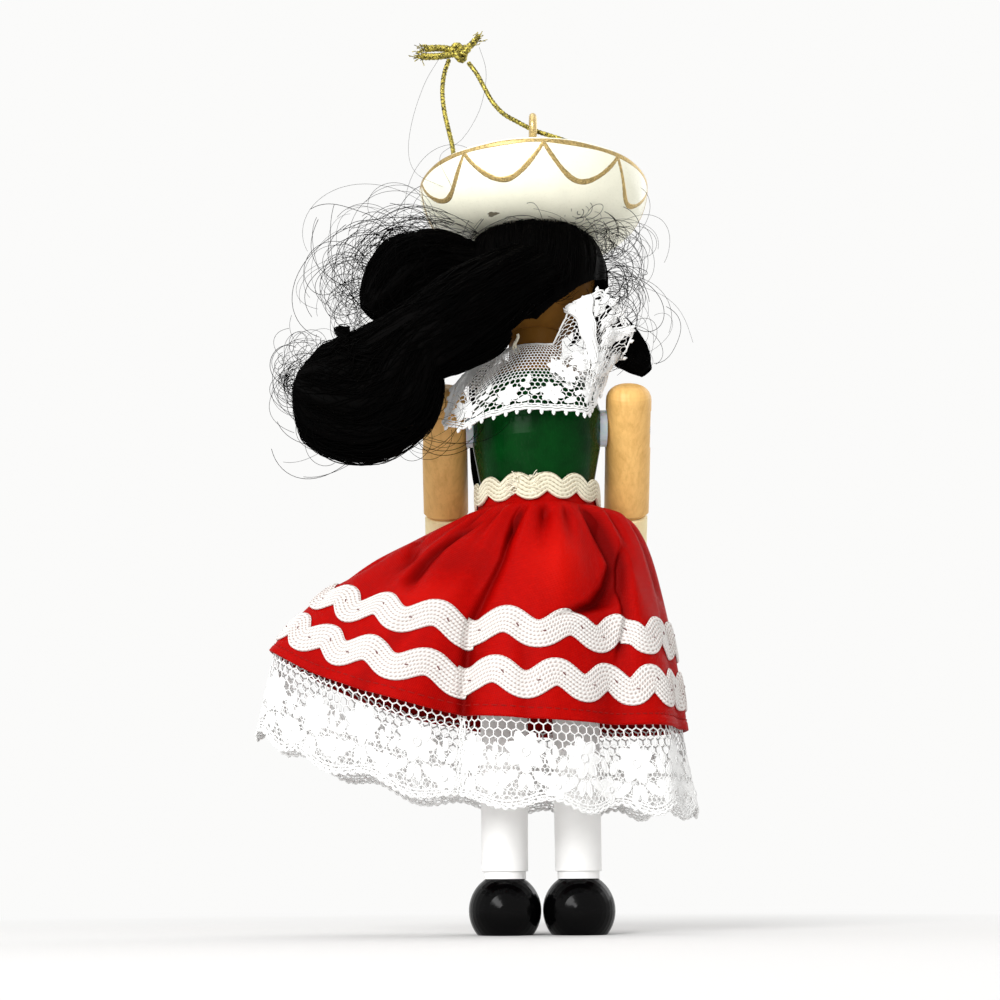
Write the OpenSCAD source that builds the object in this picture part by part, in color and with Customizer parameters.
// Dressed dowel doll with a hanging cord. It stands on its soles and faces -Y.
// Its left side is +X. Every piece is drawn about the body's axis, and the whole
// doll then moves by stand_x, which centres its base on the origin.

/* [Body] */
// Radius of the bodice at the chest
chest_r = 10.7; // [10.2:0.1:11]
// Radius at the waist
waist_r = 8.7; // [8.4:0.1:8.8]
// Radius at the hips
hip_r = 9.6; // [9.4:0.1:10]
// Height of the hips' flat underside
hip_z = 46; // [44:0.5:48]
// Height of the waist
waist_z = 67.6; // [67:0.1:68]
// Height of the shoulder pins
shoulder_z = 79.5; // [79:0.5:80]
// Height of the neck's top
neck_z = 95.5; // [95:0.1:96]
// Radius of the neck
neck_r = 4.4; // [4:0.1:4.8]
// Radius of the head
head_r = 10.2; // [10:0.1:10.4]
// Height of the head's centre
head_z = 104.6; // [104:0.1:105]
// Radius of the dowel between neck and head
neck_dowel_r = 2; // [1.5:0.1:2.5]
// How far the neck dowel goes into the torso, and into the head
neck_dowel_depth = 6.5; // [5:0.5:8]

/* [Hat] */
// Radius of the rim
rim_r = 19.25; // [18:0.25:20]
// Height of the rim
rim_z = 122; // [121:0.5:123]
// Thickness of the rim
rim_t = 1.5; // [1:0.1:2]
// Height of the hat's flat underside, where it is glued to the head
hat_z = 112; // [111.8:0.1:112.4]
// Height of the crown's top
crown_z = 130; // [128:0.5:131]
// Radius of the crown at its foot
crown_r = 8.8; // [8:0.1:9.5]

/* [Hanging] */
// Wire radius of the screw eye
eye_wire_r = 0.65; // [0.5:0.05:0.8]
// Outer radius of the screw eye's ring
eye_r = 2.9; // [2.6:0.1:3.2]
// Length of the screw eye's shank
eye_shank = 10; // [7:0.5:12]
// Radius of the cord
cord_r = 0.45; // [0.4:0.01:0.5]

/* [Arms] */
// Radius of the upper arm
upper_arm_r = 3.7; // [3.5:0.05:3.9]
// From the shoulder pin to the upper arm's round top
arm_top = 7.2; // [6.6:0.1:7.6]
// From the shoulder pin to the upper arm's lower end
arm_drop = 14.8; // [13:0.1:15]
// Radius of the forearm
forearm_r = 3.5; // [3.2:0.05:3.65]
// Length of the forearm below the upper arm
forearm_l = 14.5; // [12:0.5:16]
// Radius of the peg at the forearm's top
arm_peg_r = 1.5; // [1.2:0.1:1.8]
// Length of that peg
arm_peg_l = 5; // [4:0.5:6]
// Angle of the arms at rest, forward of straight down
arm_rest = 32; // [31:1:36]
// Radius of the shoulder washers
washer_r = 3; // [2.6:0.1:3.1]
// Thickness of the shoulder washers
washer_t = 1.2; // [1:0.1:1.5]
// Radius of the shoulder pins
pin_r = 0.6; // [0.5:0.05:0.7]
// Radius of the pins' heads
pin_head_r = 1.4; // [1.2:0.1:1.6]
// Thickness of the pins' heads
pin_head_t = 0.5; // [0.4:0.1:0.6]
// How far the pins go into the torso
pin_depth = 6; // [4:0.5:8]

/* [Legs and shoes] */
// From the body's axis to each leg's axis
leg_x = 5.6; // [5.6:0.05:5.8]
// Radius of the leg at the hips
thigh_r = 3.75; // [3.5:0.05:3.8]
// Radius of the leg above the ankle
shin_r = 3.55; // [3.4:0.05:3.7]
// Radius of the neck at the ankle
ankle_r = 3.2; // [3:0.05:3.4]
// Height of the neck at the ankle
ankle_h = 1.1; // [0.8:0.1:1.4]
// Radius of the leg's pegs
leg_peg_r = 1.6; // [1.3:0.1:2]
// Length of the peg in the hips
hip_peg_l = 7; // [5:0.5:9]
// Length of the peg in the shoe
shoe_peg_l = 5; // [4:0.5:6]
// Half the width of a shoe
shoe_r = 5.5; // [5.2:0.05:5.5]
// Length of a shoe, heel to toe
shoe_l = 14; // [12:0.5:15]
// Height of a shoe's axis above its sole
shoe_axis_z = 3.6; // [3.4:0.1:4]
// Height of the flat in the shoe on which the leg stands
shoe_seat_z = 8.2; // [8:0.1:8.6]

/* [Skirt] */
// Radius of the skirt's gathered top edge
gather_r = 9.5; // [9.4:0.1:9.7]
// Height of the hem at the back and at the right
hem_z = 30.5; // [30:0.5:32]
// How much higher the hem flies at the left
hem_lift = 12.5; // [8:0.5:14]
// How far the hem reaches to the left of the body's axis
hem_left = 42; // [36:0.5:43]
// How far the hem reaches to the right of the body's axis
hem_right = 23; // [21:0.5:24]
// How far the hem reaches to the back
hem_back = 15; // [13.5:0.5:17]
// How far the hem reaches to the front
hem_front = 13; // [12:0.5:13]
// Depth of the skirt's deepest fold, along its seam
fold_depth = 2.6; // [1.5:0.1:2.8]
// Thickness of the cloth
cloth_t = 0.5; // [0.4:0.05:0.6]

/* [Trims] */
// Width of the rickrack bands on the skirt
trim_w = 4.2; // [3.6:0.1:4.4]
// Height of the skirt trims' wave, from its middle line
trim_wave = 1.05; // [0.8:0.05:1.2]
// Thickness of a trim
trim_t = 0.5; // [0.4:0.05:0.6]
// Width of the waist's rickrack
waist_trim_w = 3.1; // [2.5:0.1:3.3]
// Height of the waist trim's wave, from its middle line
waist_wave = 0.6; // [0.4:0.1:0.6]
// How far the lace hangs below the skirt
lace_drop = 12.5; // [10:0.5:13]
// How deep the scallops are, from their middle line
scallop = 0.8; // [0.4:0.1:1]
// Thickness of the lace
lace_t = 0.35; // [0.3:0.05:0.4]
// Height of the collar's edge at the neck
collar_top_z = 92.1; // [92:0.1:92.6]
// Height of the collar's lower edge at the back
collar_low_z = 79; // [78:0.5:81]
// Reach of the collar's lower edge at the back
collar_r = 12; // [11.8:0.1:12.4]
// How far the collar's turned-up corner stands above its neck edge
flap_h = 8; // [6:0.5:8.5]

/* [Hair] */
// Thickness of the hair on the head
hair_t = 1.8; // [1.5:0.1:1.9]
// Radius of the opening for the face
face_r = 7.4; // [6.5:0.1:8]
// Half the depth of the tresses on the left
tress_d = 3.6; // [3:0.1:3.8]

/* [Hidden] */

$fn = 64;
// Gap around a glued peg, between faces that don't touch, and under a trim
peg_gap = 0.04;
run_gap = 0.05;
trim_gap = 0.22;
// One overrun for all cuts
cut = 1;

// Turned profile of the torso from the chest up
shoulder_r_shares = [1, 0.99, 0.915, 0.77, 0.57];
shoulder_z_shares = [0.04, 0.13, 0.33, 0.5, 0.62];
chest_h = neck_z - shoulder_z;
// The flats turned on the chest's sides for the washers
seat_x = sqrt(pow(chest_r, 2) - pow(washer_r, 2)) - run_gap;
arm_seat_x = seat_x + washer_t + run_gap;
arm_flat = upper_arm_r - sqrt(pow(upper_arm_r, 2) - pow(washer_r, 2) * 0.16);
arm_x = arm_seat_x + upper_arm_r - arm_flat;
arm_round = 2.4;
arm_edge = 0.6;
pin_outer_x = arm_x + upper_arm_r - arm_flat;

// The skirt: steps around, and levels from the waist to the hem
skirt_steps = 76;
skirt_level_shares = [0, 0.06, 0.1, 0.18, 0.34, 0.55, 0.78, 1];
// The share of the cloth that the waist's trim holds flat, and its height
tucked_share = 0.06;
waist_tuck = waist_trim_w / 2 + waist_wave + trim_gap;
gather_count = 16;
gather_depth = 0.55;
hem_skew = 2;
// The direction of the skirt's seam, where both rows of trim end low in a wave
seam_a = 77;
// Each main fold: its direction, its half width, and its share of fold_depth
fold_shares = [
    [8, 10, 0.22], [34, 9, -0.4], [56, 10, 0.35], [seam_a, 8, -1], [98, 13, 0.4],
    [124, 8, -0.6], [143, 9, 0.3], [163, 8, -0.3], [196, 9, 0.15], [232, 12, -0.4],
    [262, 12, 0.33], [288, 9, -0.22], [319, 14, -0.66], [345, 8, 0.22]
];
upper_trim_share = 0.63;
lower_trim_share = 0.84;
upper_waves = 17;
lower_waves = 20;
waist_waves = 12;
trim_steps = 2 * skirt_steps;
lace_top_share = 0.93;
lace_out = 2;
scallop_count = 16;

// The left edge of the lace and the right edge give the middle of the base
left_reach = hem_left + lace_out + cloth_t;
right_reach = hem_right + lace_out;
stand_x = (right_reach - left_reach) / 2;

// The cord's own points, from the knot down into the brim, round the crown, over
// it, through the eye and up to the knot again
cord_route = [
    [14.4, 0, 146.4], [15.2, 0.1, 143.6], [15.5, 0.3, 140], [15.1, 0.7, 136],
    [14.4, 1.2, 132.5], [13.7, 1.8, 129], [13.3, 2.8, 125], [13, 4.4, 121],
    [12.2, 6.6, 118], [10.5, 9, 116.7], [7.5, 11.4, 116.4], [4, 13, 116.4],
    [0, 13.5, 116.4], [-4, 12.9, 116.6], [-7.5, 11.2, 117.2], [-9.9, 8.5, 118.6],
    [-10.8, 5.6, 121], [-10.7, 3, 124], [-9.6, 1.2, 127.2], [-7.7, 0.4, 129.6],
    [-5.2, 0.1, 131], [-2.6, 0, 132], [0, 0, 133], [2.6, 0.2, 134.4],
    [5, 0.3, 135.9], [6.9, 0.3, 138.2], [8.3, 0.2, 141], [9.6, 0.1, 143.7],
    [11, 0, 145.8]
];
knot_centre = [12.4, 0, 147.9];
knot_r = 1.75;
cord_sides = 8;

// The tresses: the points of each middle line, as shares of the head's radius from
// the head's centre, and the half widths there, as shares of the same radius
sweep_shares = [
    [0.39, 1.18, -0.41], [0.93, 1.255, -0.815], [1.45, 1.275, -1.205], [1.91, 1.295, -1.54]
];
sweep_width_shares = [0.54, 0.65, 0.65, 0.63];
curl_shares = [
    [2.325, 1.313, -1.842], [2.695, 1.34, -2.08], [3.09, 1.36, -2.09], [3.43, 1.355, -2.02],
    [3.655, 1.335, -1.96]
];
curl_width_shares = [0.805, 0.865, 0.745, 0.51, 0.165];
bunch_shares = [
    [1.03, 0.39, 0.215], [1.57, 0.49, 0.195], [1.99, 0.53, -0.02], [2.355, 0.53, -0.39],
    [2.63, 0.53, -0.705]
];
bunch_width_shares = [0.39, 0.53, 0.665, 0.53, 0.235];
right_lock_shares = [
    [-0.94, 0.03, -0.6], [-1.295, 0.03, -0.94], [-1.57, 0.04, -1.255], [-1.785, 0.05, -1.54]
];
right_lock_width_shares = [0.335, 0.345, 0.285, 0.11];
right_lock_d = 1.9;
front_lock_shares = [
    [0.804, -0.549, -0.608], [0.882, -1.039, -1.294], [0.902, -1.314, -2.02],
    [0.892, -1.333, -2.755], [0.882, -1.255, -3.353]
];
front_lock_width_shares = [0.147, 0.186, 0.196, 0.167, 0.078];
front_lock_d = 1.7;
tress_sides = 12;

// The collar's edges by direction: the reach of its upper edge as a share of
// collar_r, how far that edge stands up as a share of flap_h, the reach of its
// lower edge, and how high that edge is from collar_low_z, at 0, to clear of the
// arms, at 1. One corner is turned up past the right shoulder, one hangs low.
collar_shares = [
    [0, 0.46, 0, 0.86, 1], [20, 0.46, 0, 0.9, 1], [26, 0.46, 0, 1.25, 0.6],
    [33, 0.46, 0, 1.42, -0.2], [42, 0.46, 0, 1.25, -0.28], [54, 0.46, 0, 1.1, -0.08],
    [70, 0.46, 0, 1, 0], [104, 0.46, 0, 1, 0], [116, 0.5, 0, 1, 0],
    [128, 0.8, 0.7, 1, 0], [140, 1.15, 1, 0.96, 0.2], [150, 1.28, 0.72, 0.93, 0.5],
    [160, 1.4, 0.24, 0.93, 0.8], [168, 1.2, -0.2, 0.9, 0.95], [176, 0.75, -0.1, 0.86, 1],
    [186, 0.46, 0, 0.86, 1], [203, 0.46, 0, 0.86, 1], [222, 0.46, 0, 1, 0],
    [318, 0.46, 0, 1, 0], [337, 0.46, 0, 0.86, 1], [360, 0.46, 0, 0.86, 1]
];

function lerp(a, b, k) = a + (b - a) * k;
function smooth(k) = let (c = min(max(k, 0), 1)) c * c * (3 - 2 * c);
function unit(v) = v / norm(v);

// Every piece is drawn about the body's axis and placed over the base's middle
module on_base() {
    translate([stand_x, 0, 0]) children();
}

// A closed ring of loops: loops[i] is the i-th outline around the ring
module ring_of(loops) {
    n = len(loops);
    m = len(loops[0]);
    faces = [
        for (i = [0 : n - 1], j = [0 : m - 1])
            let (a = i * m + j, b = i * m + (j + 1) % m, c = (i + 1) % n * m + (j + 1) % m,
                d = (i + 1) % n * m + j)
                each [[a, b, c], [a, c, d]]
    ];
    polyhedron([for (loop = loops) each loop], faces);
}

// A tube through the points of a route, closed at both ends
module tube_along(route, r, sides) {
    n = len(route);
    rings = [
        for (i = [0 : n - 1])
            let (
                way = unit(route[min(i + 1, n - 1)] - route[max(i - 1, 0)]),
                side = unit(cross(way, [0, 1, 0.2])),
                up = cross(way, side)
            )
                for (j = [0 : sides - 1])
                    let (a = 360 * j / sides)
                        route[i] + r * (cos(a) * side + sin(a) * up)
    ];
    tube_mesh(rings, n, sides);
}

// n rings of points, one after the other, as a tube closed at both ends
module tube_mesh(rings, n, sides) {
    walls = [
        for (i = [0 : n - 2], j = [0 : sides - 1])
            let (a = i * sides + j, b = i * sides + (j + 1) % sides, c = b + sides, d = a + sides)
                each [[a, c, b], [a, d, c]]
    ];
    ends = [
        for (j = [1 : sides - 2])
            each [[0, j, j + 1], [(n - 1) * sides, (n - 1) * sides + j + 1, (n - 1) * sides + j]]
    ];
    polyhedron(rings, concat(walls, ends));
}

// The hem, as seen from above at direction a
function hem_point(a) = [
    (hem_left - hem_right) / 2 - hem_skew + (hem_left + hem_right) / 2 * cos(a) + hem_skew * cos(2 * a),
    ((hem_back + hem_front) / 2 + (hem_back - hem_front) / 2 * sin(a)) * sin(a),
    hem_z + hem_lift * pow((1 + cos(a)) / 2, 4)
];

// The cloth without its folds, at share t of the way from the waist to the hem
function cloth_point(a, t) =
    let (
        h = hem_point(a),
        left = (1 + cos(a)) / 2,
        free = max(t - tucked_share, 0) / (1 - tucked_share),
        run = pow(free, 0.3 + 0.6 * left) + 0.12 * left * sin(180 * free)
    )
        [
            lerp(gather_r * cos(a), h.x, run),
            lerp(gather_r * sin(a), h.y, run),
            lerp(waist_z - waist_tuck * min(t / tucked_share, 1), h.z, free)
        ];

// The cloth's outward direction
function cloth_out(a, t) =
    let (s = max(t, tucked_share + 0.03))
        unit(cross(cloth_point(a + 1, s) - cloth_point(a - 1, s),
            cloth_point(a, s - 0.01) - cloth_point(a, s + 0.01)));

// How far the folds move the cloth outwards
function fold(a, t) =
    smooth(t * 1.6) * fold_depth * (0.45 + 0.55 * t) * fold_sum(a)
    + gather_depth * cos(gather_count * a) * smooth((t - tucked_share) * 20) * pow(1 - t, 3);
function fold_sum(a, i = 0) =
    i == len(fold_shares) ? 0 :
    let (f = fold_shares[i], d = (a - f[0] + 540) % 360 - 180)
        f[2] * exp(-pow(d / f[1], 2)) + fold_sum(a, i + 1);

// A point on the cloth, or beside it by gap
function skirt_point(a, t, gap = 0) = cloth_point(a, t) + (fold(a, t) + gap) * cloth_out(a, t);

// A wavy trim on the skirt, centred at share t of its length
module skirt_trim(t, waves) {
    skirt_l = waist_z - hem_z;
    ring_of([
        for (i = [0 : trim_steps - 1])
            let (
                a = 360 * i / trim_steps,
                middle = t + trim_wave * cos(waves * (a - seam_a)) / skirt_l,
                half = trim_w / skirt_l / 2
            )
                [
                    skirt_point(a, middle - half, trim_gap),
                    skirt_point(a, middle + half, trim_gap),
                    skirt_point(a, middle + half, trim_gap + trim_t),
                    skirt_point(a, middle - half, trim_gap + trim_t)
                ]
    ]);
}

module torso() {
    // Turned wood: painted green below the shoulders and brown above
    color("darkgreen") on_base() difference() {
        rotate_extrude() polygon([
            [0, hip_z], [hip_r - arm_edge, hip_z], [hip_r, hip_z + arm_edge],
            [hip_r, lerp(hip_z, waist_z, 0.55)], [lerp(waist_r, hip_r, 0.4), lerp(hip_z, waist_z, 0.85)],
            [waist_r, waist_z], [lerp(waist_r, chest_r, 0.35), lerp(waist_z, shoulder_z, 0.3)],
            [lerp(waist_r, chest_r, 0.8), lerp(waist_z, shoulder_z, 0.7)],
            for (i = [0 : len(shoulder_r_shares) - 1])
                [chest_r * shoulder_r_shares[i], shoulder_z + chest_h * shoulder_z_shares[i]],
            [neck_r, lerp(shoulder_z, neck_z, 0.72)], [neck_r, neck_z], [0, neck_z]
        ]);
        translate([0, 0, neck_z - neck_dowel_depth])
            cylinder(h = neck_dowel_depth + cut, r = neck_dowel_r + peg_gap);
        for (side = [-1, 1]) {
            translate([side * leg_x, 0, hip_z - cut])
                cylinder(h = hip_peg_l + peg_gap + cut, r = leg_peg_r + peg_gap);
            translate([side * seat_x, 0, shoulder_z]) rotate([0, side * 90, 0]) {
                cylinder(h = washer_t, r = washer_r + run_gap);
                translate([0, 0, -pin_depth - peg_gap])
                    cylinder(h = pin_depth + washer_t, r = pin_r + peg_gap);
            }
        }
    }
}

module head() {
    // Turned ball with flats at the neck and under the hat
    color("saddlebrown") on_base() difference() {
        intersection() {
            translate([0, 0, head_z]) sphere(r = head_r);
            translate([0, 0, neck_z]) cylinder(h = hat_z - neck_z, r = head_r + cut);
        }
        translate([0, 0, neck_z - cut])
            cylinder(h = neck_dowel_depth + cut, r = neck_dowel_r + peg_gap);
    }
}

module neck_dowel() {
    color("burlywood") on_base() translate([0, 0, neck_z - neck_dowel_depth + peg_gap])
        cylinder(h = 2 * (neck_dowel_depth - peg_gap), r = neck_dowel_r);
}

module hat() {
    // Turned in one piece: an upturned brim, a quarter of an ellipse, round a low crown
    brim_foot = rim_r / 2;
    edge_z = rim_z - rim_t / 2;
    floor_z = hat_z + 2 * rim_t;
    color("ivory") on_base() difference() {
        rotate_extrude($fn = 96) polygon([
            [0, hat_z],
            for (a = [0 : 15 : 90])
                [brim_foot + (rim_r - brim_foot) * sin(a), edge_z - (edge_z - hat_z) * cos(a)],
            for (a = [45 : 45 : 180])
                [rim_r - rim_t / 2 * (1 - cos(a)), edge_z + rim_t / 2 * sin(a)],
            for (a = [75 : -15 : 15])
                [brim_foot + (rim_r - rim_t - brim_foot) * sin(a), edge_z - (edge_z - floor_z) * cos(a)],
            for (a = [0 : 15 : 90])
                [crown_r * pow(cos(a), 0.6), lerp(floor_z, crown_z, pow(sin(a), 0.8))]
        ]);
        translate([0, 0, crown_z - eye_shank])
            cylinder(h = eye_shank + cut, r = eye_wire_r + peg_gap);
    }
}

module screw_eye() {
    // Bent wire: the ring is seen edge on from behind, and the shank is in the crown
    color("gold") on_base() union() {
        translate([0, 0, crown_z + eye_r]) rotate([0, 90, 0]) rotate_extrude()
            translate([eye_r - eye_wire_r, 0]) circle(r = eye_wire_r, $fn = 24);
        translate([0, 0, crown_z - eye_shank + peg_gap])
            cylinder(h = eye_shank - peg_gap + eye_wire_r, r = eye_wire_r, $fn = 24);
    }
}

module hanging_cord() {
    color("goldenrod") on_base() tube_along(cord_route, cord_r, cord_sides);
}

module cord_knot() {
    // An overhand knot in both strands, with two tails to the left and one stub up
    color("goldenrod") on_base() translate(knot_centre) union() {
        sphere(r = knot_r, $fn = 24);
        rotate([0, 100, 0]) cylinder(h = knot_r * 4.2, r = cord_r, $fn = 16);
        rotate([0, 78, 0]) cylinder(h = knot_r * 4, r = cord_r, $fn = 16);
        rotate([0, -50, 0]) cylinder(h = knot_r * 1.9, r = cord_r, $fn = 16);
    }
}

module hair_cap() {
    // The hair on the head: open over the face, and lifted off the nape's right side
    cap_z = hat_z - run_gap;
    color("black") on_base() difference() {
        translate([0, hair_t / 3, head_z]) sphere(r = head_r + hair_t);
        translate([0, 0, head_z]) sphere(r = head_r + run_gap);
        translate([0, 0, cap_z]) cylinder(h = rim_r, r = rim_r);
        translate([0, -cut, head_z - hair_t]) rotate([90, 0, 0]) cylinder(h = rim_r, r = face_r);
        translate([-face_r, -rim_r - cut, 0]) cube([2 * face_r, rim_r, head_z - hair_t]);
        translate([-rim_r, -rim_r, neck_z - rim_r]) cube([2 * rim_r, 2 * rim_r, rim_r]);
        // the bare wedge at the nape
        translate([0, rim_r, 0]) rotate([90, 0, 0]) linear_extrude(rim_r) polygon([
            [-head_r * 0.8, head_z - head_r * 0.32], [head_r * 0.24, head_z - head_r * 1.09],
            [head_r * 0.24, 0], [-head_r * 0.8, 0]
        ]);
    }
}

// A flat strand of hair along its middle line, d deep on each side
module tress(shares, width_shares, d) {
    n = len(shares);
    points = [for (share = shares) [0, 0, head_z] + head_r * share];
    w = head_r * width_shares;
    rings = [
        for (i = [0 : n - 1])
            let (
                way = unit(points[min(i + 1, n - 1)] - points[max(i - 1, 0)]),
                side = unit(cross([0, 1, 0], way)),
                deep = cross(way, side)
            )
                for (j = [0 : tress_sides - 1])
                    let (a = 360 * j / tress_sides)
                        points[i] + w[i] * cos(a) * side + d * min(1, w[i] / d) * sin(a) * deep
    ];
    tube_mesh(rings, n, tress_sides);
}

// What a tress on the head leaves to the hair under it
module off_the_cap() {
    translate([0, hair_t / 3, head_z]) sphere(r = head_r + hair_t + run_gap);
}

module hair_sweep() {
    color("black") on_base() difference() {
        tress(sweep_shares, sweep_width_shares, tress_d);
        off_the_cap();
    }
}

module hair_left_bunch() {
    color("black") on_base() difference() {
        tress(bunch_shares, bunch_width_shares, tress_d);
        off_the_cap();
    }
}

module hair_left_curl() {
    // It goes on where the sweep ends
    last = len(sweep_shares) - 1;
    way = unit(sweep_shares[last] - sweep_shares[last - 1]);
    color("black") on_base() translate(run_gap * way) tress(
        concat([sweep_shares[last]], curl_shares),
        concat([sweep_width_shares[last]], curl_width_shares), tress_d
    );
}

module hair_right_lock() {
    color("black") on_base() difference() {
        tress(right_lock_shares, right_lock_width_shares, right_lock_d);
        off_the_cap();
    }
}

module hair_front_lock() {
    color("black") on_base() difference() {
        tress(front_lock_shares, front_lock_width_shares, front_lock_d);
        off_the_cap();
    }
}

// The row of collar_shares at direction a
function collar_row(a, i = 0) =
    a <= collar_shares[i + 1][0] ?
        let (p = collar_shares[i], q = collar_shares[i + 1])
            lerp(p, q, smooth((a - p[0]) / (q[0] - p[0])))
    : collar_row(a, i + 1);

// The lace's middle at direction a and share s from the neck's edge to the low edge
function collar_middle(a, s) =
    let (
        row = collar_row((a + 360) % 360),
        r = collar_r * lerp(row[1], row[3], pow(s, 0.8)) + lace_t * (1 + cos(9 * a)) * s,
        top_z = collar_top_z + flap_h * row[2],
        low_z = lerp(collar_low_z, shoulder_z + arm_top + arm_edge * 2, row[4])
    )
        [r * cos(a), r * sin(a), lerp(top_z, low_z, pow(s, 1.3))];

// A point beside the lace's middle, by gap
function collar_point(a, s, gap) =
    let (up = collar_middle(a, max(s - 0.05, 0)) - collar_middle(a, min(s + 0.05, 1)))
        collar_middle(a, s) + gap * unit(cross(collar_middle(a + 1, s) - collar_middle(a - 1, s), up));

module lace_collar() {
    color("white") on_base() ring_of([
        for (i = [0 : skirt_steps - 1])
            let (a = 360 * i / skirt_steps)
                concat(
                    [for (s = [0, 0.25, 0.5, 0.75, 1]) collar_point(a, s, lace_t / 2)],
                    [for (s = [1, 0.75, 0.5, 0.25, 0]) collar_point(a, s, -lace_t / 2)]
                )
    ]);
}

module waist_rickrack() {
    color("wheat") on_base() ring_of([
        for (i = [0 : trim_steps - 1])
            let (
                a = 360 * i / trim_steps,
                z = waist_z + waist_wave * sin(waist_waves * a),
                r = gather_r + trim_gap
            )
                [
                    [r * cos(a), r * sin(a), z + waist_trim_w / 2],
                    [r * cos(a), r * sin(a), z - waist_trim_w / 2],
                    [(r + trim_t) * cos(a), (r + trim_t) * sin(a), z - waist_trim_w / 2],
                    [(r + trim_t) * cos(a), (r + trim_t) * sin(a), z + waist_trim_w / 2]
                ]
    ]);
}

module skirt() {
    color("red") on_base() ring_of([
        for (i = [0 : skirt_steps - 1])
            let (a = 360 * i / skirt_steps, n = len(skirt_level_shares) - 1)
                concat(
                    [for (j = [0 : n]) skirt_point(a, skirt_level_shares[j])],
                    [for (j = [0 : n]) skirt_point(a, skirt_level_shares[n - j], -cloth_t)]
                )
    ]);
}

module upper_rickrack() {
    color("white") on_base() skirt_trim(upper_trim_share, upper_waves);
}

module lower_rickrack() {
    color("white") on_base() skirt_trim(lower_trim_share, lower_waves);
}

// The lace below the hem, at share u of its drop
function lace_point(a, u, gap) =
    let (
        edge = skirt_point(a, 1, gap - cloth_t - trim_gap - lace_t),
        drop = lace_drop + scallop * cos(scallop_count * a)
    )
        edge + [lace_out * u * cos(a), lace_out * u * sin(a) / 2, -drop * u];

module lace_hem() {
    tuck = -cloth_t - trim_gap - lace_t;
    color("white") on_base() ring_of([
        for (i = [0 : skirt_steps - 1])
            let (a = 360 * i / skirt_steps)
                concat(
                    [skirt_point(a, lace_top_share, tuck + lace_t)],
                    [for (u = [0, 0.4, 1]) lace_point(a, u, lace_t)],
                    [for (u = [1, 0.4, 0]) lace_point(a, u, 0)],
                    [skirt_point(a, lace_top_share, tuck)]
                )
    ]);
}

module leg(side) {
    // A dowel with a turned neck and a peg at each end
    color("white") on_base() translate([side * leg_x, 0, 0]) rotate_extrude() polygon([
        [0, shoe_seat_z - shoe_peg_l], [leg_peg_r, shoe_seat_z - shoe_peg_l], [leg_peg_r, shoe_seat_z],
        [ankle_r, shoe_seat_z], [ankle_r, shoe_seat_z + ankle_h],
        [shin_r, shoe_seat_z + ankle_h + run_gap], [thigh_r, hip_z],
        [leg_peg_r, hip_z], [leg_peg_r, hip_z + hip_peg_l], [0, hip_z + hip_peg_l]
    ]);
}

module leg_left() {
    leg(1);
}

module leg_right() {
    leg(-1);
}

module shoe(side) {
    // Half a turned egg: the sole is a flat cut, and the leg stands in a flat on top
    toe = shoe_l * 0.6;
    heel = shoe_l - toe;
    color("black") on_base() translate([side * leg_x, 0, 0]) difference() {
        translate([0, 0, shoe_axis_z]) rotate([90, 0, 0]) rotate_extrude() polygon([
            for (a = [-90 : 9 : 90])
                [shoe_r * cos(a), (a < 0 ? heel : toe) * sin(a)]
        ]);
        translate([-shoe_l, -shoe_l, -shoe_l]) cube([2 * shoe_l, 2 * shoe_l, shoe_l]);
        translate([0, 0, shoe_seat_z]) cylinder(h = shoe_l, r = ankle_r + run_gap);
        translate([0, 0, shoe_seat_z - shoe_peg_l - peg_gap])
            cylinder(h = shoe_l, r = leg_peg_r + peg_gap);
    }
}

module shoe_left() {
    shoe(1);
}

module shoe_right() {
    shoe(-1);
}

// Places an arm's piece: its own frame has the pin at the origin and the arm down -Z
module on_shoulder(side) {
    translate([side * arm_x, 0, shoulder_z]) rotate([-arm_rest, 0, 0]) children();
}

module shoulder_pins() {
    // Brads: each head is sunk in its arm's outside, each shank goes into the torso
    shank = pin_depth + pin_outer_x - seat_x - pin_head_t;
    color("silver") on_base() for (side = [-1, 1])
        translate([side * seat_x, 0, shoulder_z]) rotate([0, side * 90, 0])
            translate([0, 0, -pin_depth]) union() {
                cylinder(h = shank + pin_head_t / 2, r = pin_r, $fn = 32);
                translate([0, 0, shank]) cylinder(h = pin_head_t, r = pin_head_r, $fn = 32);
            }
}

module shoulder_washers() {
    color("lightblue") on_base() for (side = [-1, 1])
        translate([side * seat_x, 0, shoulder_z]) rotate([0, side * 90, 0]) difference() {
            cylinder(h = washer_t, r = washer_r);
            translate([0, 0, -cut]) cylinder(h = washer_t + 2 * cut, r = pin_r + run_gap);
        }
}

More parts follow.
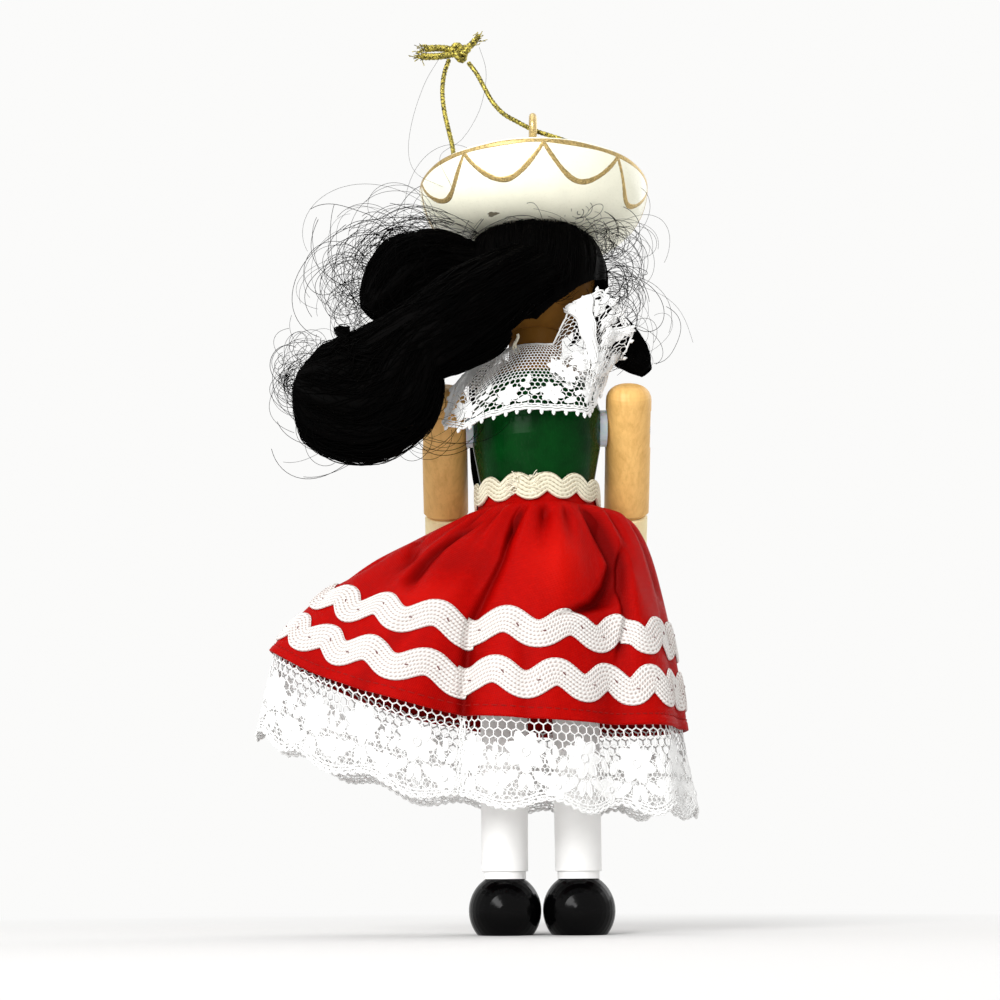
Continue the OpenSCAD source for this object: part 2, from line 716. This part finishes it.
module upper_arm(side) {
    // A dowel with a round top, drilled for its pin and for the forearm's peg
    color("burlywood") on_base() on_shoulder(side) difference() {
        rotate_extrude() polygon([
            [0, -arm_drop], [upper_arm_r - arm_edge, -arm_drop], [upper_arm_r, arm_edge - arm_drop],
            [upper_arm_r, arm_top - arm_round],
            for (a = [15 : 15 : 90])
                [upper_arm_r - arm_round * (1 - cos(a)), arm_top - arm_round * (1 - sin(a))],
            [0, arm_top]
        ]);
        for (face = [-1, 1])
            translate([face * (upper_arm_r - arm_flat), 0, 0]) rotate([0, face * 90, 0])
                cylinder(h = upper_arm_r, r = washer_r * 1.1);
        translate([-upper_arm_r - cut, 0, 0]) rotate([0, 90, 0])
            cylinder(h = 2 * (upper_arm_r + cut), r = pin_r + run_gap);
        translate([side * (upper_arm_r - arm_flat - pin_head_t - run_gap), 0, 0])
            rotate([0, side * 90, 0]) cylinder(h = upper_arm_r, r = pin_head_r + run_gap);
        translate([0, 0, -arm_drop - cut])
            cylinder(h = arm_peg_l + peg_gap + cut, r = arm_peg_r + peg_gap);
    }
}

module upper_arm_left() {
    upper_arm(1);
}

module upper_arm_right() {
    upper_arm(-1);
}

module forearm(side) {
    // A paler dowel with a peg at its top and a round end for the hand
    hand_round = forearm_r * 0.7;
    low = -arm_drop - run_gap - forearm_l;
    color("cornsilk") on_base() on_shoulder(side) rotate_extrude() polygon([
        [0, low],
        for (a = [0 : 15 : 90])
            [forearm_r - hand_round * (1 - sin(a)), low + hand_round * (1 - cos(a))],
        [forearm_r, -arm_drop - run_gap - arm_edge / 2],
        [forearm_r - arm_edge / 2, -arm_drop - run_gap],
        [arm_peg_r, -arm_drop - run_gap], [arm_peg_r, arm_peg_l - arm_drop - run_gap],
        [0, arm_peg_l - arm_drop - run_gap]
    ]);
}

module forearm_left() {
    forearm(1);
}

module forearm_right() {
    forearm(-1);
}

torso();
head();
neck_dowel();
hat();
screw_eye();
hanging_cord();
cord_knot();
hair_cap();
hair_sweep();
hair_left_bunch();
hair_left_curl();
hair_right_lock();
hair_front_lock();
lace_collar();
waist_rickrack();
skirt();
upper_rickrack();
lower_rickrack();
lace_hem();
leg_left();
leg_right();
shoe_left();
shoe_right();
shoulder_pins();
shoulder_washers();
upper_arm_left();
upper_arm_right();
forearm_left();
forearm_right();
